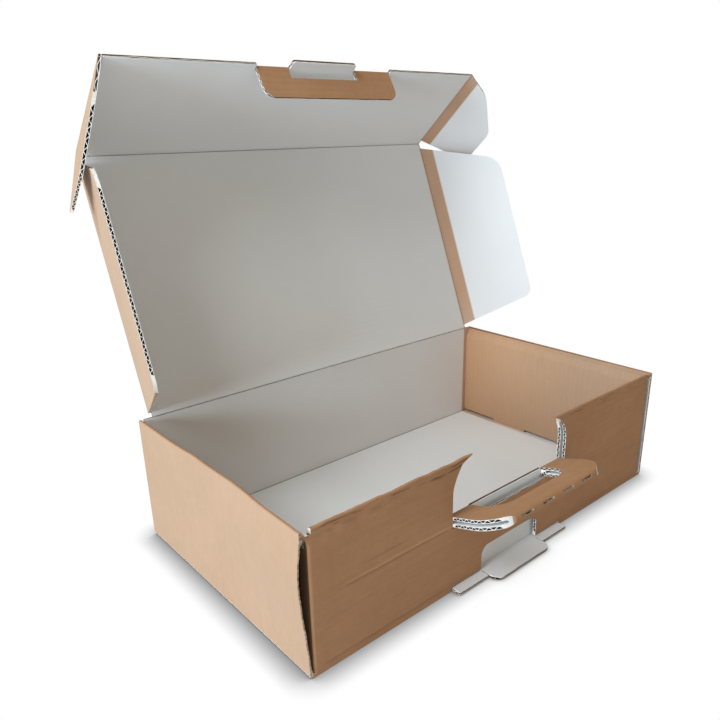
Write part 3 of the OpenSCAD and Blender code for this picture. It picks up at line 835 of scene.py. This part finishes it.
class MAILER_OT_handle(bpy.types.Operator):
    """Dress the doubled handle band"""

    bl_idname = "mailer.handle"
    bl_label = "Handle"

    def execute(self, context):
        crease = Vector(JOINTS["handle_crease"]["pos_m"])
        tilt = math.radians(-JOINTS["handle_crease"]["range_deg"][0])
        upright = Matrix.Rotation(-tilt, 4, "X") @ Matrix.Translation(-crease)
        radius = BOARD + FRONT_ROOM / 2
        spring = WALL_TOP - radius - crease.z

        def local(point):
            return upright @ point

        def paper(centre, normal):
            p, n = local(centre), upright.to_3x3() @ normal
            # The handle's kraft faces take the shaded kraft: painted shade
            if p.z > spring and abs(n.x) < 0.3:
                distance = math.hypot(p.y, p.z - spring)
                if distance > radius - 0.0008:
                    return SHADED_KRAFT
                if distance < FRONT_ROOM / 2 + 0.0004:
                    return WHITE
            if abs(n.y) > 0.9 and abs(n.x) < 0.3:
                if abs(abs(p.y) - radius) < NEAR:
                    return SHADED_KRAFT
                if abs(abs(p.y) - FRONT_ROOM / 2) < NEAR:
                    return WHITE
            if p.z < 0.0046 and abs(n.x) < 0.3 and math.hypot(p.y, p.z) > radius - 0.0004:
                return SHADED_KRAFT
            return PLAIN if abs(n.x) > 0.3 and abs(p.x - CUT_MIDDLE) > 0.054 else CUT

        def grain(point, centre, normal):
            p, c = local(point), local(centre)
            if c.z > spring:
                return p.x, p.z, FRONT_ROOM / 2 + HALF - math.hypot(p.y, p.z - spring)
            return p.x, p.z, FRONT_ROOM / 2 + HALF - abs(p.y)

        piece = copy_of_node("handle", "handle_band")
        add_papers(piece)
        lay_papers(piece, paper, grain)
        open_flutes(piece, upright.to_3x3().inverted())
        shade_by_angle(piece)
        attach(piece, "handle")
        return {"FINISHED"}


# Lid, tuck panel and flaps

def dress_panel(node_name, piece_name, matrix, deep=True, brown=KRAFT):
    """Dresses a flat panel from its own frame, whose z looks out of the white side"""
    back = matrix.inverted()
    turn = back.to_3x3()

    def paper(centre, normal):
        p, n = back @ centre, turn @ normal
        bead = math.hypot(p.y, p.z) > HALF - 1e-4 and p.y < HALF and abs(n.z) <= 0.95
        on_face = abs(n.z) > 0.9 and abs(abs(p.z) - HALF) < NEAR
        side_bead = deep and abs(p.z) < HALF - 1e-5 and abs(p.x) < HALF and abs(n.y) < 0.3
        if on_face or side_bead or (bead and abs(n.x) < 0.3):
            return WHITE if n.z > 0 else brown
        return PLAIN if deep and abs(n.x) > 0.5 else CUT

    def grain(point, centre, normal):
        p = back @ point
        return p.x, p.y, p.z

    piece = copy_of_node(node_name, piece_name)
    add_papers(piece)
    lay_papers(piece, paper, grain)
    if deep:
        open_flutes(piece, matrix.to_3x3())
    shade_by_angle(piece)
    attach(piece, node_name)


LID_Y = Vector(JOINTS["right_lid_flap_crease"]["axis"]).normalized()
TUCK_Y = Vector(JOINTS["right_dust_flap_crease"]["axis"]).normalized()
ACROSS = Vector((1, 0, 0))
LID = panel_matrix(JOINTS["lid_crease"]["pos_m"], ACROSS, LID_Y)
TUCK = panel_matrix(JOINTS["tuck_crease"]["pos_m"], ACROSS, TUCK_Y)


class MAILER_OT_lid(bpy.types.Operator):
    """Dress the lid and its two side flaps"""

    bl_idname = "mailer.lid"
    bl_label = "Lid and side flaps"

    def execute(self, context):
        lid_up = LID.to_3x3() @ Vector((0, 0, 1))
        dress_panel("lid", "lid_board", LID, deep=False)
        for side in ("left", "right"):
            name = "lid_flap_" + side
            frame_of = panel_frame(name, side + "_lid_flap_crease", like=lid_up)
            dress_panel(name, name + "_board", frame_of)
        return {"FINISHED"}


class MAILER_OT_tuck(bpy.types.Operator):
    """Dress the tuck panel, its dust flaps and its lock flap"""

    bl_idname = "mailer.tuck"
    bl_label = "Tuck panel and flaps"

    def execute(self, context):
        tuck_up = TUCK.to_3x3() @ Vector((0, 0, 1))
        dress_panel("tuck_panel", "tuck_panel_board", TUCK, deep=False)
        for side in ("left", "right"):
            name = "dust_flap_" + side
            frame_of = panel_frame(name, side + "_dust_flap_crease", like=tuck_up)
            dress_panel(name, name + "_board", frame_of)
        lock = panel_frame("lock_flap", "lock_flap_crease", like=tuck_up, flip=True)
        # The lock flap's kraft side takes the shaded kraft: painted shade
        dress_panel("lock_flap", "lock_flap_board", lock, deep=False, brown=SHADED_KRAFT)
        return {"FINISHED"}


# Stage

# What the lamps look at
TARGET = Vector((0, 0, 0.12))


def area_lamp(name, place, size, power, colour):
    """A soft lamp that looks at the box"""
    bpy.ops.object.light_add(type="AREA", location=place)
    lamp = bpy.context.object
    lamp.name = name
    lamp.data.shape = "DISK"
    lamp.data.size = size
    lamp.data.energy = power
    lamp.data.color = colour
    lamp.rotation_euler = (TARGET - Vector(place)).to_track_quat("-Z", "Y").to_euler()


def floor_paper(settings):
    """Pale floor that the camera sees as white, greyer where the box keeps the light off it"""
    material = bpy.data.materials.new("studio_floor")
    material.use_nodes = True
    material.node_tree.nodes.clear()
    graph = Graph(material.node_tree)
    near = graph.new("ShaderNodeAmbientOcclusion", Distance=settings.shadow_reach)
    near.samples = 16
    shade = graph.math("POWER", near.outputs["AO"], settings.shadow_depth)
    glow = graph.new("ShaderNodeEmission")
    graph.link(graph.mix(shade, (0, 0, 0), (1, 1, 1)), glow.inputs["Color"])
    diffuse = graph.new("ShaderNodeBsdfDiffuse", Color=(0.85, 0.85, 0.86, 1))
    mix = graph.new("ShaderNodeMixShader")
    for index, output in enumerate((graph.seen_directly(), diffuse.outputs[0], glow.outputs[0])):
        graph.link(output, mix.inputs[index])
    graph.link(mix.outputs[0], graph.new("ShaderNodeOutputMaterial").inputs["Surface"])
    return material


class MAILER_OT_stage(bpy.types.Operator):
    """Set up the floor, the lamps, the sky and the camera"""

    bl_idname = "mailer.stage"
    bl_label = "Stage"

    def execute(self, context):
        s = context.scene.mailer_studio
        clear_selection()
        bpy.ops.mesh.primitive_plane_add(size=8, location=(0, 0, -0.0002))
        floor = bpy.context.object
        floor.name = "studio_floor"
        floor.data.materials.append(floor_paper(s))

        area_lamp("key_lamp", (-2.1, -0.25, 0.45), 0.6, s.key_power, (0.94, 1.09, 1.24))
        area_lamp("high_lamp", (-1.4, -0.1, 1.5), 0.9, s.high_power, (0.97, 1.04, 1.08))

        world = bpy.data.worlds.new("studio_sky")
        context.scene.world = world
        world.use_nodes = True
        graph = Graph(world.node_tree)
        background = world.node_tree.nodes["Background"].inputs
        seen = graph.seen_directly()
        graph.link(graph.ramp(seen, (0, 1), (s.sky, 1)), background["Strength"])
        graph.link(graph.mix(seen, s.sky_colour, (1, 1, 1)), background["Color"])

        bpy.ops.object.camera_add(location=s.camera_place, rotation=s.camera_turn)
        camera = bpy.context.object
        camera.name = "photo_camera"
        camera.data.sensor_width = 36
        camera.data.lens = s.camera_lens
        camera.data.shift_x, camera.data.shift_y = s.camera_shift
        camera.data.clip_start = 0.01
        context.scene.camera = camera
        context.scene.view_settings.view_transform = "Standard"
        return {"FINISHED"}


class MAILER_PT_panel(bpy.types.Panel):
    """Steps that dress the box"""

    bl_idname = "MAILER_PT_panel"
    bl_label = "Mailer box"
    bl_space_type = "VIEW_3D"
    bl_region_type = "UI"
    bl_category = "Mailer box"

    def draw(self, context):
        for operator in STEPS:
            self.layout.operator(operator.bl_idname)
        for group in (context.scene.mailer_board, context.scene.mailer_studio):
            for name in group.__annotations__:
                self.layout.prop(group, name)


STEPS = (
    MAILER_OT_papers, MAILER_OT_tray, MAILER_OT_handle, MAILER_OT_lid, MAILER_OT_tuck,
    MAILER_OT_stage)
CLASSES = (BoardSettings, StudioSettings, *STEPS, MAILER_PT_panel)


def register():
    """Adds the settings, the steps and the panel"""
    for cls in CLASSES:
        bpy.utils.register_class(cls)
    bpy.types.Scene.mailer_board = bpy.props.PointerProperty(type=BoardSettings)
    bpy.types.Scene.mailer_studio = bpy.props.PointerProperty(type=StudioSettings)


def unregister():
    """Takes them away again"""
    del bpy.types.Scene.mailer_studio
    del bpy.types.Scene.mailer_board
    for cls in reversed(CLASSES):
        bpy.utils.unregister_class(cls)


def main():
    """Dresses the box step by step"""
    register()
    bpy.ops.mailer.papers()
    bpy.ops.mailer.tray()
    bpy.ops.mailer.handle()
    bpy.ops.mailer.lid()
    bpy.ops.mailer.tuck()
    bpy.ops.mailer.stage()


if __name__ == "__main__":
    main()
